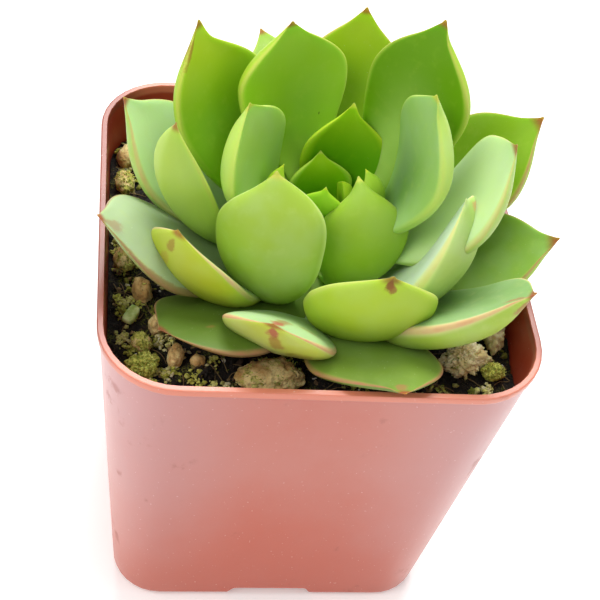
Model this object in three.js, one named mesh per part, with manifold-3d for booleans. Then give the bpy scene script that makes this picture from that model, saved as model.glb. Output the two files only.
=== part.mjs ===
// A small rosette succulent in a square plastic nursery pot.
// Millimetres, +Z up, standing on z = 0, with +Y away from the pot's front.
import * as THREE from 'three';
import { mergeVertices } from 'three/addons/utils/BufferGeometryUtils.js';
import Module from 'manifold-3d';

const wasm = await Module();
wasm.setup();

// Pot
const potHeight = 70;
const potRimHalf = 35;
const potBaseHalf = 29;
const potRimCorner = 12;
const potBaseCorner = 8.5;
const potWall = 0.8;
const lipDepth = 1.8;
const lipStandsOut = 0.35;
const footRound = 0.7;
const channelHeight = 3;
const channelBaseHalf = 8.5;
const channelTopHalf = 6.8;
const drainRadius = 2.5;
const drainSpacing = 16;
const cornerSteps = 6;

// Potting mix
const soilLevel = 61;
const soilDipAtStem = 1.6;
const soilDipRadius = 11;
const gap = 0.3;
const leafGap = 0.4;

// Stem, off the pot's centre as it grew
const stemX = 1.5;
const stemY = 2.5;
const stemProfile = [[0, 49], [2, 49.6], [3, 53], [2.9, 64], [2.6, 68], [1.6, 70.5], [0, 71]];

// Leaf outline from base to tip: share of the length, share of the width for a pointed leaf,
// share of the width for a blunt leaf, share of the thickness
const leafStations = [
  [0.0, 0.22, 0.22, 0.3],
  [0.1, 0.28, 0.28, 0.4],
  [0.22, 0.42, 0.42, 0.58],
  [0.36, 0.68, 0.68, 0.82],
  [0.5, 0.9, 0.9, 0.98],
  [0.62, 0.99, 0.99, 1.0],
  [0.72, 0.98, 1.0, 0.94],
  [0.8, 0.83, 0.95, 0.82],
  [0.87, 0.58, 0.82, 0.6],
  [0.935, 0.27, 0.52, 0.32],
];
const leafUpperAcross = [1, 0.6, 0.2, -0.2, -0.6, -1];
const leafUnderAngles = [150, 120, 90, 60, 30];
const curveSteps = 40;

const leafColours = {
  outer: 0x7fae4a,
  middle: 0x93c245,
  inner: 0x9aca50,
  heart: 0x7fbf2a,
};

function radians(degrees) {
  return THREE.MathUtils.degToRad(degrees);
}

function finish(colour, roughness) {
  return new THREE.MeshStandardMaterial({ color: colour, roughness, metalness: 0 });
}

// One closed body through rings of equal length, listed upwards and anticlockwise.
// Each end closes on its own point, or on the middle of its ring.
function loft(rings, startPoint, endPoint) {
  const count = rings[0].length;
  const points = rings.flat();
  const faces = [];
  for (let level = 0; level < rings.length - 1; level += 1) {
    for (let i = 0; i < count; i += 1) {
      const next = (i + 1) % count;
      const a = level * count + i;
      const b = level * count + next;
      faces.push(a, b, b + count, a, b + count, a + count);
    }
  }
  const start = points.push(startPoint ?? middle(rings[0])) - 1;
  const end = points.push(endPoint ?? middle(rings.at(-1))) - 1;
  const last = (rings.length - 1) * count;
  for (let i = 0; i < count; i += 1) {
    const next = (i + 1) % count;
    faces.push(start, next, i);
    faces.push(end, last + i, last + next);
  }
  const geometry = new THREE.BufferGeometry().setFromPoints(points);
  geometry.setIndex(faces);
  return geometry;
}

function middle(ring) {
  const sum = new THREE.Vector3();
  for (const point of ring) {
    sum.add(point);
  }
  return sum.divideScalar(ring.length);
}

function merged(geometry) {
  const bare = geometry.clone();
  bare.deleteAttribute('normal');
  bare.deleteAttribute('uv');
  return mergeVertices(bare, 1e-4);
}

function toSolid(geometry) {
  const clean = merged(geometry);
  const mesh = new wasm.Mesh({
    numProp: 3,
    vertProperties: new Float32Array(clean.attributes.position.array),
    triVerts: new Uint32Array(clean.index.array),
  });
  return new wasm.Manifold(mesh);
}

function toGeometry(solid) {
  const mesh = solid.getMesh();
  const geometry = new THREE.BufferGeometry();
  geometry.setAttribute('position', new THREE.BufferAttribute(mesh.vertProperties, 3));
  geometry.setIndex(new THREE.BufferAttribute(mesh.triVerts, 1));
  return geometry;
}

// The largest separate body of a cut solid.
function largest(solid) {
  return solid.decompose().reduce((best, body) => (body.volume() > best.volume() ? body : best));
}

function roundedSquare(half, corner, height) {
  const ring = [];
  for (let quarter = 0; quarter < 4; quarter += 1) {
    const centreAngle = radians(45 + quarter * 90);
    const centreX = Math.sign(Math.cos(centreAngle)) * (half - corner);
    const centreY = Math.sign(Math.sin(centreAngle)) * (half - corner);
    for (let step = 0; step <= cornerSteps; step += 1) {
      const angle = radians(quarter * 90 + (90 * step) / cornerSteps);
      const x = centreX + corner * Math.cos(angle);
      const y = centreY + corner * Math.sin(angle);
      ring.push(new THREE.Vector3(x, y, height));
    }
  }
  return ring;
}

// The pot's outside at a height, moved in by an inset.
function potRing(height, inset) {
  const share = height / potHeight;
  const rimHalf = potRimHalf - lipStandsOut;
  const half = THREE.MathUtils.lerp(potBaseHalf, rimHalf, share) - inset;
  const corner = THREE.MathUtils.lerp(potBaseCorner, potRimCorner, share) - inset;
  return roundedSquare(half, corner, height);
}

function channelBlock(extraHalf, height, length) {
  const outline = new THREE.Shape();
  outline.moveTo(-channelBaseHalf - extraHalf, -1);
  outline.lineTo(channelBaseHalf + extraHalf, -1);
  outline.lineTo(channelBaseHalf + extraHalf, 0);
  outline.lineTo(channelTopHalf + extraHalf, height);
  outline.lineTo(-channelTopHalf - extraHalf, height);
  outline.lineTo(-channelBaseHalf - extraHalf, 0);
  const block = new THREE.ExtrudeGeometry(outline, { depth: length, bevelEnabled: false });
  block.translate(0, 0, -length / 2);
  block.rotateX(Math.PI / 2);
  return block;
}

function channelCross(extraHalf, height) {
  const length = 2 * potRimHalf;
  const along = toSolid(channelBlock(extraHalf, height, length));
  const across = toSolid(channelBlock(extraHalf, height, length).rotateZ(Math.PI / 2));
  return along.add(across);
}

function makePot() {
  const lipBase = potHeight - lipDepth;
  const lipInset = -lipStandsOut;
  const outside = loft([
    potRing(0, footRound),
    potRing(footRound, 0),
    potRing(lipBase, 0),
    potRing(lipBase + lipStandsOut, lipInset),
    potRing(potHeight, lipInset),
  ]);
  const inside = loft([potRing(potWall, potWall), potRing(potHeight + 1, potWall)]);
  const room = toSolid(inside).subtract(channelCross(potWall, channelHeight + potWall));
  let pot = toSolid(outside).subtract(room).subtract(channelCross(0, channelHeight));
  for (const [x, y] of [[0, 0], [1, 0], [-1, 0], [0, 1], [0, -1]]) {
    const drain = new THREE.CylinderGeometry(drainRadius, drainRadius, 4 * channelHeight, 16);
    drain.rotateX(Math.PI / 2);
    drain.translate(x * drainSpacing, y * drainSpacing, 0);
    pot = pot.subtract(toSolid(drain));
  }
  return toGeometry(pot);
}

// The upper part of the pot's wall, grown by a clearance, for leaves that rest on the rim.
function makeRimKeepOut(clearance) {
  const outside = loft([
    potRing(soilLevel - 10, -clearance),
    potRing(potHeight + clearance, -lipStandsOut - clearance),
  ]);
  const inset = potWall + clearance;
  const inside = loft([potRing(soilLevel - 11, inset), potRing(potHeight + 2 * clearance, inset)]);
  return toSolid(outside).subtract(toSolid(inside));
}

function soilHeight(x, y) {
  const fromStem = Math.hypot(x - stemX, y - stemY);
  const dip = soilDipAtStem * Math.max(0, 1 - fromStem / soilDipRadius);
  return soilLevel - dip + 0.35 * Math.sin(x * 0.31 + 1) * Math.cos(y * 0.27);
}

function makeSoil(embedded) {
  const inset = potWall + gap;
  const floorLevel = potWall + gap;
  const rings = [potRing(floorLevel, inset), potRing(soilLevel - 2, inset)];
  for (const share of [1, 0.8, 0.6, 0.4, 0.2]) {
    const ring = potRing(soilLevel, inset);
    for (const point of ring) {
      point.set(point.x * share, point.y * share, 0);
      point.z = soilHeight(point.x, point.y);
    }
    rings.push(ring);
  }
  const top = new THREE.Vector3(0, 0, soilHeight(0, 0));
  let soil = toSolid(loft(rings, undefined, top));
  soil = soil.subtract(channelCross(inset, channelHeight + potWall + gap));
  for (const piece of embedded) {
    soil = soil.subtract(piece);
  }
  // a sliver cut off between two leaves is left out
  return toGeometry(largest(soil));
}

function makeStem(grow) {
  const profile = stemProfile.map(([radius, height]) => {
    const end = radius === 0 ? grow * Math.sign(height - soilLevel) : 0;
    return new THREE.Vector2(radius === 0 ? 0 : radius + grow, height + end);
  });
  const stem = new THREE.LatheGeometry(profile, 16);
  stem.rotateX(Math.PI / 2);
  stem.translate(stemX, stemY, 0);
  return stem;
}

// The whole leaf, grown on every side where it cuts a leaf that it presses on.
function leafBody(leaf, grow) {
  const turn = radians(leaf.turn);
  const position = new THREE.Vector3(
    stemX + leaf.start * Math.cos(turn),
    stemY + leaf.start * Math.sin(turn),
    leaf.height,
  );
  const tiltAt = (share) => radians(leaf.tilt + (leaf.tipTilt - leaf.tilt) * share ** leaf.curl);
  const headingAt = (share) => turn + radians(leaf.sweep) * share;
  const forwardAt = (share) => {
    const tilt = tiltAt(share);
    const heading = headingAt(share);
    return new THREE.Vector3(
      Math.cos(tilt) * Math.cos(heading),
      Math.cos(tilt) * Math.sin(heading),
      Math.sin(tilt),
    );
  };
  const midline = [position.clone()];
  for (let step = 1; step <= curveSteps; step += 1) {
    const forward = forwardAt((step - 0.5) / curveSteps);
    position.addScaledVector(forward, leaf.length / curveSteps);
    midline.push(position.clone());
  }
  const curve = new THREE.CatmullRomCurve3(midline);
  const rings = leafStations.map(([share, pointed, blunt, thick]) => {
    const widthAt = (bluntness) => THREE.MathUtils.lerp(pointed, blunt, bluntness) * leaf.width;
    const bare = widthAt(leaf.blunt);
    const thickness = leaf.thickness * thick + 2 * grow;
    const dish = (leaf.dish * bare) / leaf.width;
    const lift = dish * 0.5 + leaf.thickness * thick * 0.3 + grow;
    const heading = headingAt(share);
    const side = new THREE.Vector3(-Math.sin(heading), Math.cos(heading), 0);
    const forward = forwardAt(share);
    side.applyAxisAngle(forward, radians(leaf.roll) * Math.min(1, 1.5 * share));
    const face = new THREE.Vector3().crossVectors(forward, side);
    const centre = curve.getPoint(share);
    if (share === 0) {
      centre.addScaledVector(forward, -grow);
    }
    const place = (across, rise) => {
      const width = widthAt(leaf.blunt + leaf.skew * Math.sign(across)) + 2 * grow;
      return centre.clone()
        .addScaledVector(side, (across * width) / 2)
        .addScaledVector(face, rise + lift);
    };
    const upper = leafUpperAcross.map((across) => place(across, -dish * (1 - across ** 2)));
    const under = leafUnderAngles.map((angle) => {
      const depth = (dish + thickness) * Math.sin(radians(angle));
      return place(Math.cos(radians(angle)), -depth);
    });
    return [...upper, ...under];
  });
  return loft(rings, undefined, midline.at(-1).addScaledVector(forwardAt(1), grow));
}

// An uneven rounded lump: a stone, a piece of pumice, a clump of moss or a scrap of leaf.
function lump(stone, grow) {
  const geometry = merged(new THREE.IcosahedronGeometry(1, 1));
  const position = geometry.attributes.position;
  const point = new THREE.Vector3();
  for (let i = 0; i < position.count; i += 1) {
    point.fromBufferAttribute(position, i);
    const wave = Math.sin(5.3 * point.x + stone.seed) * Math.cos(4.1 * point.y - stone.seed)
      + 0.6 * Math.sin(6.7 * point.z + 2 * stone.seed);
    const scale = 1 + stone.rough * wave;
    point.multiplyScalar(scale);
    point.x *= stone.size[0] / 2 + grow;
    point.y *= stone.size[1] / 2 + grow;
    point.z *= stone.size[2] / 2 + grow;
    position.setXYZ(i, point.x, point.y, point.z);
  }
  geometry.rotateZ(radians(stone.turn));
  geometry.translate(...stone.at);
  return geometry;
}

// name, kind, then in this order: turn about the stem, tilt at the base, tilt at the tip (degrees),
// length, width (mm), roll, sweep (degrees), base height (mm), how early it curves, dish, thickness (mm),
// bluntness, how much more blunt the leaf's left half is, and the start's distance from the stem's
// axis (mm)
const leafTable = [
  ['heart_leaf_front', 'heart', -105, 44, 92, 14, 7, 0, 0, 72, 1.1, 0, 1.8, -0.4, 0, 3.2],
  ['heart_leaf_right', 'heart', 29, 60, 119, 8.5, 4, -4, -13, 68.5, 1, 0.4, 1.7, 0, 0, 3.2],
  ['heart_leaf_back_right', 'heart', -32, 30, 126, 17.5, 8.5, 12, -1, 68.5, 0.9, 0.7, 2.6, 0, 0, 3.2],
  ['heart_leaf_left', 'heart', 195, 35, 103, 17, 5.5, -7, -2, 68, 0.9, 0.7, 2.6, 0, 0, 3.2],
  ['inner_leaf_back', 'inner', 100, 91, 65, 17, 11.5, 2, 1, 63, 1.4, 0.6, 2.5, -0.1, 0.1, 2.6],
  ['inner_leaf_back_right', 'inner', 57, 90, 67, 27, 15.5, 2, 38, 60, 1.3, 1.4, 3, -0.2, 0.3, 6],
  ['inner_leaf_front', 'inner', -67, 14, 144, 30, 15.5, -16, -7, 61, 0.9, 1.2, 3.5, -0.2, 0, 4],
  ['inner_leaf_front_left', 'inner', -135, -26, 125, 38, 18.5, -14, 44, 60.5, 0.6, 0.9, 4.4, 0.7, -0.4, 4],
  ['inner_leaf_right', 'inner', -30, 4, 102, 36.5, 20, 18, 29, 69, 0.4, 0.5, 4.2, 0, -0.5, 4],
  ['inner_leaf_left', 'inner', 182, 31, 86, 32.5, 19.5, -25, -9, 63, 0.4, 1, 4.3, 0.3, 0, 4],
  ['middle_leaf_back', 'middle', 114, 32, 89, 30.5, 21.5, 3, 3, 71, 0.9, 1, 4.4, 0, 0, 4],
  ['middle_leaf_back_right', 'middle', 25, 23, 93, 42, 19.5, 16, 6, 67, 0.4, 1.1, 4.4, -0.2, 0.3, 4],
  ['middle_leaf_back_left', 'middle', 144, 27, 73, 42, 21.5, -10, 3, 62, 0.6, 0.8, 4.4, -0.2, -0.4, 4],
  ['middle_leaf_left', 'middle', 194, 10, 94, 40, 11.5, 31, -13, 63.5, 1, 1.7, 3.6, 0.5, 0, 4],
  ['middle_leaf_right', 'middle', -28, 5, 84, 39.5, 22, 2, 25, 67, 0.7, 0, 4.2, 0.5, -0.3, 4],
  ['middle_leaf_front_right', 'middle', -42, -17, 104, 39, 22, -1, 15, 62, 0.7, -0.8, 6, 0.6, 0.1, 4],
  ['middle_leaf_front', 'middle', -77, -8, 84, 38.5, 20.5, -12, -4, 60, 0.7, 1.6, 4.5, 0.8, 0, 4],
  ['middle_leaf_left_low', 'middle', 217, -8, 81, 37.5, 18, 15, -7, 61, 0.9, 0.3, 4.3, 0.7, 0, 4],
  ['middle_leaf_front_left', 'middle', -107, -15, 64, 40, 18.5, 0, -6, 59, 0.6, -1.8, 4.8, 0.9, 0, 4],
  ['outer_leaf_back', 'outer', 76, 19, 80, 37, 19.5, 8, 0, 66.5, 1, 1.1, 4.3, 0, 0, 4],
  ['outer_leaf_back_low', 'outer', 94, 24, 30, 37, 17, -4, 23, 63.5, 1, 1, 4.4, 0, 0, 4],
  ['outer_leaf_back_right', 'outer', 13, 15, 61, 41, 20.5, 10, -7, 63.5, 0.9, 0.9, 4.4, 0, 0, 4],
  ['outer_leaf_back_left', 'outer', 161, 9, 61, 40.5, 20, -11, 13, 60.5, 0.7, 0.8, 4.3, 0, 0, 4],
  ['outer_leaf_right', 'outer', -14, 6, 54, 39.5, 17.5, 18, -6, 61, 1.3, 0.7, 4.3, 0, 0, 4],
  ['outer_leaf_left', 'outer', 198, -16, 49, 42, 20.5, -5, 6, 60.5, 0.4, -2.2, 4.2, 0.1, 0, 4],
  ['outer_leaf_front_right', 'outer', -64, -22, 55, 45.5, 19, -17, 43, 60.5, 0.4, 0.8, 5, 0.5, 1, 4],
  ['outer_leaf_front_left', 'outer', 242, -2, 27, 36.5, 23.5, 20, -39, 61, 0.6, -1.2, 3.9, 0.7, -0.2, 4],
  ['outer_leaf_front', 'outer', -77, -5, 39, 41, 21.5, -2, -5, 61, 0.7, -1.8, 3.5, -0.1, -0.5, 4],
];

const leafFields = ['turn', 'tilt', 'tipTilt', 'length', 'width', 'roll', 'sweep', 'height',
  'curl', 'dish', 'thickness', 'blunt', 'skew', 'start'];

// Stones, pumice, moss and a cut piece of leaf on the mix: name, colour, place of the middle, size,
// turn, roughness, shape
const lumpTable = [
  ['stone_front', 0xb09a72, [-7.6, -25.4, 61.9], [10.6, 6.0, 5.6], 5, 0.08, 1],
  ['stone_left_wedge', 0x9a7f62, [-27.6, -8.6, 62.2], [3.2, 4.2, 4.4], 20, 0.1, 2],
  ['stone_left_cream', 0xd8cfb0, [-25.3, -15.6, 62.0], [2.6, 3.4, 3.6], -10, 0.1, 3],
  ['stone_left_mossy', 0xa59a52, [-27.7, -19.4, 62.0], [3.0, 3.6, 3.4], 35, 0.1, 4],
  ['stone_front_tan', 0xb69468, [-22.4, -22.0, 62.1], [2.6, 4.0, 3.6], -12, 0.07, 5],
  ['stone_front_small', 0xa0855c, [-18.9, -22.6, 61.7], [2.4, 2.2, 2.4], 0, 0.07, 6],
  ['stone_back_left', 0x8f8350, [-30.5, -1.6, 61.9], [3.4, 5.0, 3.4], 6, 0.1, 7],
  ['stone_back_orange', 0xa98a4c, [-30.2, 23.4, 61.9], [3.2, 5.0, 3.4], -6, 0.1, 8],
  ['stone_back_mossy', 0x8c8d4e, [-30.4, 16.8, 61.8], [3.4, 5.2, 3.2], 8, 0.1, 9],
  ['pumice_right', 0xbcb084, [24.6, -20.8, 62.2], [7.8, 5.2, 5.2], 20, 0.1, 10],
  ['pumice_right_back', 0xc0b48c, [30.6, -15.4, 62.2], [3.2, 5.6, 4.8], -8, 0.1, 11],
  ['moss_front_left', 0x8f9a38, [-27.6, -24.1, 61.8], [5.6, 4.4, 3.4], 50, 0.1, 12],
  ['moss_right', 0x90965c, [29.2, -23.0, 61.8], [3.8, 3.0, 3.0], 0, 0.1, 13],
  ['leaf_fragment', 0x86a63c, [-29.4, -14.1, 62.3], [3.6, 2.0, 1.6], 62, 0.04, 14],
];

const potted = new THREE.Group();

function addNode(name, geometry, material) {
  const mesh = new THREE.Mesh(geometry, material);
  mesh.name = name;
  potted.add(mesh);
}

const lumps = lumpTable.map(([name, colour, at, size, turn, rough, seed]) => ({
  name, colour, at, size, turn, rough, seed,
}));

// Leaves come from the heart outwards, and each gives way to the ones already there.
const leafNodes = [];
let grown = toSolid(makeStem(gap)).add(makeRimKeepOut(gap));
for (const [name, kind, ...values] of leafTable) {
  const leaf = Object.fromEntries(leafFields.map((field, i) => [field, values[i]]));
  const body = largest(toSolid(leafBody(leaf, 0)).subtract(grown));
  leafNodes.push({ name, kind, geometry: toGeometry(body) });
  grown = grown.add(toSolid(leafBody(leaf, leafGap)));
}

// The mix gives way to everything that is set in it.
const embedded = [grown];
for (const stone of lumps) {
  embedded.push(toSolid(lump(stone, gap)));
}

addNode('pot', makePot(), finish(0xc9836f, 0.35));
addNode('potting_mix', makeSoil(embedded), finish(0x2f2620, 1));
addNode('stem', makeStem(0), finish(0x9aa85a, 0.7));
for (const { name, kind, geometry } of leafNodes) {
  addNode(name, geometry, finish(leafColours[kind], 0.5));
}
for (const stone of lumps) {
  const body = largest(toSolid(lump(stone, 0)).subtract(grown));
  addNode(stone.name, toGeometry(body), finish(stone.colour, 0.95));
}

// The frame's origin is under the middle of the whole thing.
const middleOfAll = new THREE.Box3().setFromObject(potted).getCenter(new THREE.Vector3());
potted.position.set(-middleOfAll.x, -middleOfAll.y, 0);

export default potted;
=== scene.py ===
# A rosette succulent in a square plastic nursery pot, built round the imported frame.
# Pieces are shaped in millimetres in the pot's own frame, then put in place in metres.
import math
import random

import bmesh
import bpy
from mathutils import Matrix, Vector, noise


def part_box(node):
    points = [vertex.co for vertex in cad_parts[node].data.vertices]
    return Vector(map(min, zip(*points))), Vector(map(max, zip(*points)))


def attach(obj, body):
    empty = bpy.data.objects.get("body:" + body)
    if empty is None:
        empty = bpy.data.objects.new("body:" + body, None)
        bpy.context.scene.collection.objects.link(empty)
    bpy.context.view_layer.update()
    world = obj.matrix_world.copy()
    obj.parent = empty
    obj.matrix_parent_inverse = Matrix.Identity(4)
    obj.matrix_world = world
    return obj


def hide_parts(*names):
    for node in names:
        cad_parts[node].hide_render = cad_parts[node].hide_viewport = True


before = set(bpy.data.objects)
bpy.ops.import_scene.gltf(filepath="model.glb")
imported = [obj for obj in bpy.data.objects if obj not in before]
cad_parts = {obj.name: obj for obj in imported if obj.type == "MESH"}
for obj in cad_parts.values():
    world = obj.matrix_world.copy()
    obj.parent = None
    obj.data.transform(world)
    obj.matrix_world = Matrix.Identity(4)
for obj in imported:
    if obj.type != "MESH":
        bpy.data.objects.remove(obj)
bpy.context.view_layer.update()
print("frame loaded:", len(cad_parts), "nodes")

millimetre = 0.001
potLow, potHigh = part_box("pot")
potCentre = Vector(((potLow.x + potHigh.x) / 2, (potLow.y + potHigh.y) / 2, potLow.z))


def mixBetween(a, b, share):
    return a + (b - a) * share


def smooth(low, high, value):
    share = min(1, max(0, (value - low) / (high - low)))
    return share * share * (3 - 2 * share)


def tint(red, green, blue):
    # screen colour, 0 to 255, to the linear colour that shaders take
    linear = []
    for part in (red, green, blue):
        part /= 255
        linear.append(part / 12.92 if part <= 0.04045 else ((part + 0.055) / 1.055) ** 2.4)
    return (*linear, 1)


def pieceName(nodeName):
    first, *others = nodeName.split("_")
    return first + "".join(word.capitalize() for word in others)


def addPiece(name, bm, material, replaced=(), levels=0, sharpAngle=None):
    bmesh.ops.scale(bm, vec=(millimetre,) * 3, verts=bm.verts)
    bmesh.ops.translate(bm, vec=potCentre, verts=bm.verts)
    mesh = bpy.data.meshes.new(name)
    bm.to_mesh(mesh)
    bm.free()
    return addMesh(name, mesh, material, replaced, levels, sharpAngle)


def addMesh(name, mesh, material, replaced=(), levels=0, sharpAngle=None):
    mesh.shade_smooth()
    if sharpAngle:
        mesh.set_sharp_from_angle(angle=math.radians(sharpAngle))
    mesh.materials.clear()
    mesh.materials.append(material)
    piece = bpy.data.objects.new(name, mesh)
    bpy.context.scene.collection.objects.link(piece)
    if levels:
        finer = piece.modifiers.new("finer", "SUBSURF")
        finer.levels = levels
        finer.render_levels = levels
    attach(piece, "root")
    if replaced:
        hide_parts(*replaced)
    return piece


class Value:
    # wraps one shader socket, so that sums on masks read as sums
    def __init__(self, shader, socket):
        self.shader = shader
        self.socket = socket

    def sum(self, operation, *terms):
        return self.shader.node("Math", {"operation": operation}, dict(enumerate(terms)))

    def __add__(self, other):
        return self.sum("ADD", self, other)

    def __radd__(self, other):
        return self.sum("ADD", other, self)

    def __sub__(self, other):
        return self.sum("SUBTRACT", self, other)

    def __rsub__(self, other):
        return self.sum("SUBTRACT", other, self)

    def __mul__(self, other):
        return self.sum("MULTIPLY", self, other)

    def __rmul__(self, other):
        return self.sum("MULTIPLY", other, self)

    def __truediv__(self, other):
        return self.sum("DIVIDE", self, other)

    def __abs__(self):
        return self.sum("ABSOLUTE", self)

    def __pow__(self, other):
        return self.sum("POWER", self, other)

    def rise(self, low, high):
        # 0 below low, 1 above high, smooth between
        return self.shader.node(
            "MapRange",
            {"interpolation_type": "SMOOTHSTEP"},
            {"Value": self, "From Min": low, "From Max": high},
        )


class Shader:
    # one material, with methods that add its nodes
    def __init__(self, name):
        self.material = bpy.data.materials.new(name)
        self.material.use_nodes = True
        self.tree = self.material.node_tree
        self.surface = self.tree.nodes["Principled BSDF"]

    def feed(self, socket, value):
        if isinstance(value, Value):
            self.tree.links.new(value.socket, socket)
        else:
            socket.default_value = value

    def node(self, kind, settings=None, values=None, output=0):
        made = self.tree.nodes.new("ShaderNode" + kind)
        for key, setting in (settings or {}).items():
            if key == "stops":
                while len(made.color_ramp.elements) < len(setting):
                    made.color_ramp.elements.new(1)
                for element, (position, colour) in zip(made.color_ramp.elements, setting):
                    element.position = position
                    element.color = colour
            else:
                setattr(made, key, setting)
        for key, value in (values or {}).items():
            self.feed(made.inputs[key], value)
        return Value(self, made.outputs[output])

    def attribute(self, name):
        return self.node("Attribute", {"attribute_name": name}, output="Fac")

    def coords(self, stretch=(1, 1, 1)):
        # object coordinates in millimetres, with a stretch for streaks
        place = self.node("TexCoord", output="Object")
        scale = [1 / (millimetre * part) for part in stretch]
        return self.node("Mapping", {"vector_type": "POINT"}, {"Vector": place, "Scale": scale})

    def noise(self, coords, size, detail=3, roughness=0.5):
        # size is the width of one blotch in millimetres
        values = {"Vector": coords, "Scale": 1 / size, "Detail": detail, "Roughness": roughness}
        return self.node("TexNoise", {}, values)

    def blend(self, factor, under, over):
        settings = {"data_type": "RGBA", "blend_type": "MIX", "clamp_factor": True}
        return self.node("Mix", settings, {0: factor, 6: under, 7: over}, output=2)

    def bump(self, height, distance, strength=1.0):
        values = {"Height": height, "Distance": distance * millimetre, "Strength": strength}
        self.put("Normal", self.node("Bump", {}, values))

    def put(self, name, value):
        self.feed(self.surface.inputs[name], value)

    def glowInside(self, weight, depth):
        # light that scatters inside the piece, to a depth in millimetres
        self.put("Subsurface Weight", weight)
        self.put("Subsurface Scale", depth * millimetre)


# Camera, lights and floor

view = {
    "place": (-38.66, -155.36, 226.09),  # mm from the middle of the pot's foot
    "azimuth": -14.22,
    "elevation": 47.40,
    "roll": 12.91,
    "lens": 80.92,
    "sensor": 36,
}


def addCamera():
    turn, down, roll = (math.radians(view[key]) for key in ("azimuth", "elevation", "roll"))
    forward = Vector(
        (-math.sin(turn) * math.cos(down), math.cos(turn) * math.cos(down), -math.sin(down))
    )
    levelRight = forward.cross(Vector((0, 0, 1))).normalized()
    levelUp = levelRight.cross(forward)
    right = levelRight * math.cos(roll) + levelUp * math.sin(roll)
    up = -levelRight * math.sin(roll) + levelUp * math.cos(roll)
    data = bpy.data.cameras.new("camera")
    data.lens = view["lens"]
    data.sensor_width = view["sensor"]
    data.clip_start = 0.01
    camera = bpy.data.objects.new("camera", data)
    bpy.context.scene.collection.objects.link(camera)
    axes = Matrix((right, up, -forward)).transposed().to_4x4()
    camera.matrix_world = Matrix.Translation(potCentre + Vector(view["place"]) * millimetre) @ axes
    bpy.context.scene.camera = camera


studio = {
    "key": {"at": (-0.55, -0.25, 0.75), "size": 0.6, "power": 3.4, "colour": (1.0, 0.98, 0.95)},
    "back": {"at": (0.10, 0.60, 0.85), "size": 0.7, "power": 10.5, "colour": (1.0, 1.0, 1.0)},
    "right": {"at": (0.7, -0.2, 0.45), "size": 0.6, "power": 0.9, "colour": (0.95, 0.97, 1.0)},
    "world": 0.55,
    "floorGlow": 0.2,
}


def addLights():
    target = potCentre + Vector((0, 0, 0.07))
    for name in ("key", "back", "right"):
        lamp = studio[name]
        data = bpy.data.lights.new(name, "AREA")
        data.shape = "DISK"
        data.size = lamp["size"]
        data.energy = lamp["power"]
        data.color = lamp["colour"]
        light = bpy.data.objects.new(name, data)
        bpy.context.scene.collection.objects.link(light)
        light.location = Vector(lamp["at"])
        light.rotation_euler = (target - light.location).to_track_quat("-Z", "Y").to_euler()
    world = bpy.data.worlds.new("studio")
    bpy.context.scene.world = world
    world.use_nodes = True
    sky = world.node_tree.nodes["Background"]
    sky.inputs["Color"].default_value = (1, 1, 1, 1)
    sky.inputs["Strength"].default_value = studio["world"]
    bpy.context.scene.view_settings.view_transform = "Standard"


def addFloor():
    shader = Shader("floorPaper")
    coords = shader.coords()
    grain = shader.noise(coords, 0.8)
    shader.put("Base Color", tint(250, 250, 250))
    shader.put("Roughness", 0.7 + 0.2 * grain)
    shader.put("Emission Color", (1, 1, 1, 1))
    shader.put("Emission Strength", studio["floorGlow"])
    bm = bmesh.new()
    bmesh.ops.create_grid(bm, x_segments=1, y_segments=1, size=3)
    bmesh.ops.translate(bm, vec=(potCentre.x, potCentre.y, potCentre.z - 0.0002), verts=bm.verts)
    mesh = bpy.data.meshes.new("floor")
    bm.to_mesh(mesh)
    bm.free()
    mesh.materials.append(shader.material)
    floor = bpy.data.objects.new("floor", mesh)
    bpy.context.scene.collection.objects.link(floor)


addCamera()
addLights()
addFloor()
print("camera, lights and floor")


# Pot

pot = {
    "height": 70,
    "rimHalf": 34.65,
    "baseHalf": 29,
    "rimCorner": 12,
    "baseCorner": 8.5,
    "wall": 0.8,
    "lipDepth": 1.8,
    "lipStandsOut": 0.35,
    "footRound": 1.6,
    "channelHeight": 3,
    "channelBaseHalf": 8.5,
    "channelTopHalf": 6.8,
    "drainRadius": 2.5,
    "drainSpacing": 16,
    "sides": 128,
}

# The paler body colour and the lilac are painted reflections. The first lip colour is a painted
# highlight and the lip colour at the sides is painted shade. The inside colour is the plastic
# darkened with painted shade.
potLook = {
    "sheen": (188, 80, 50),
    "haze": (194, 120, 107),
    "lilac": (186, 138, 140),
    "inside": (170, 66, 44),
    "lip": (214, 126, 100),
    "lipShadeAtSides": (150, 74, 54),
    "scuffs": (150, 84, 72),
    "dust": (226, 196, 188),
    "roughness": 0.26,
    "coat": 0.2,
}


def roundedSquarePoint(share, half, corner):
    # a point at a share of the way round a square with round corners
    straight = 2 * (half - corner)
    arc = corner * math.pi / 2
    quarter, along = divmod(share * 4 % 4 * (straight + arc), straight + arc)
    if along < straight:
        x, y = half, along - straight / 2
    else:
        angle = (along - straight) / corner
        x = half - corner + corner * math.cos(angle)
        y = half - corner + corner * math.sin(angle)
    turn = quarter * math.pi / 2
    return (
        x * math.cos(turn) - y * math.sin(turn),
        x * math.sin(turn) + y * math.cos(turn),
    )


def potOutline(height, inset):
    share = height / pot["height"]
    half = mixBetween(pot["baseHalf"], pot["rimHalf"], share) - inset
    corner = mixBetween(pot["baseCorner"], pot["rimCorner"], share) - inset
    return half, corner


def insidePot(x, y, height, inset):
    # how far a point is inside the pot's wall, above 0 when it is inside
    half, corner = potOutline(height, inset)
    dx = max(0, abs(x) - (half - corner))
    dy = max(0, abs(y) - (half - corner))
    return corner - math.hypot(dx, dy)


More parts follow.
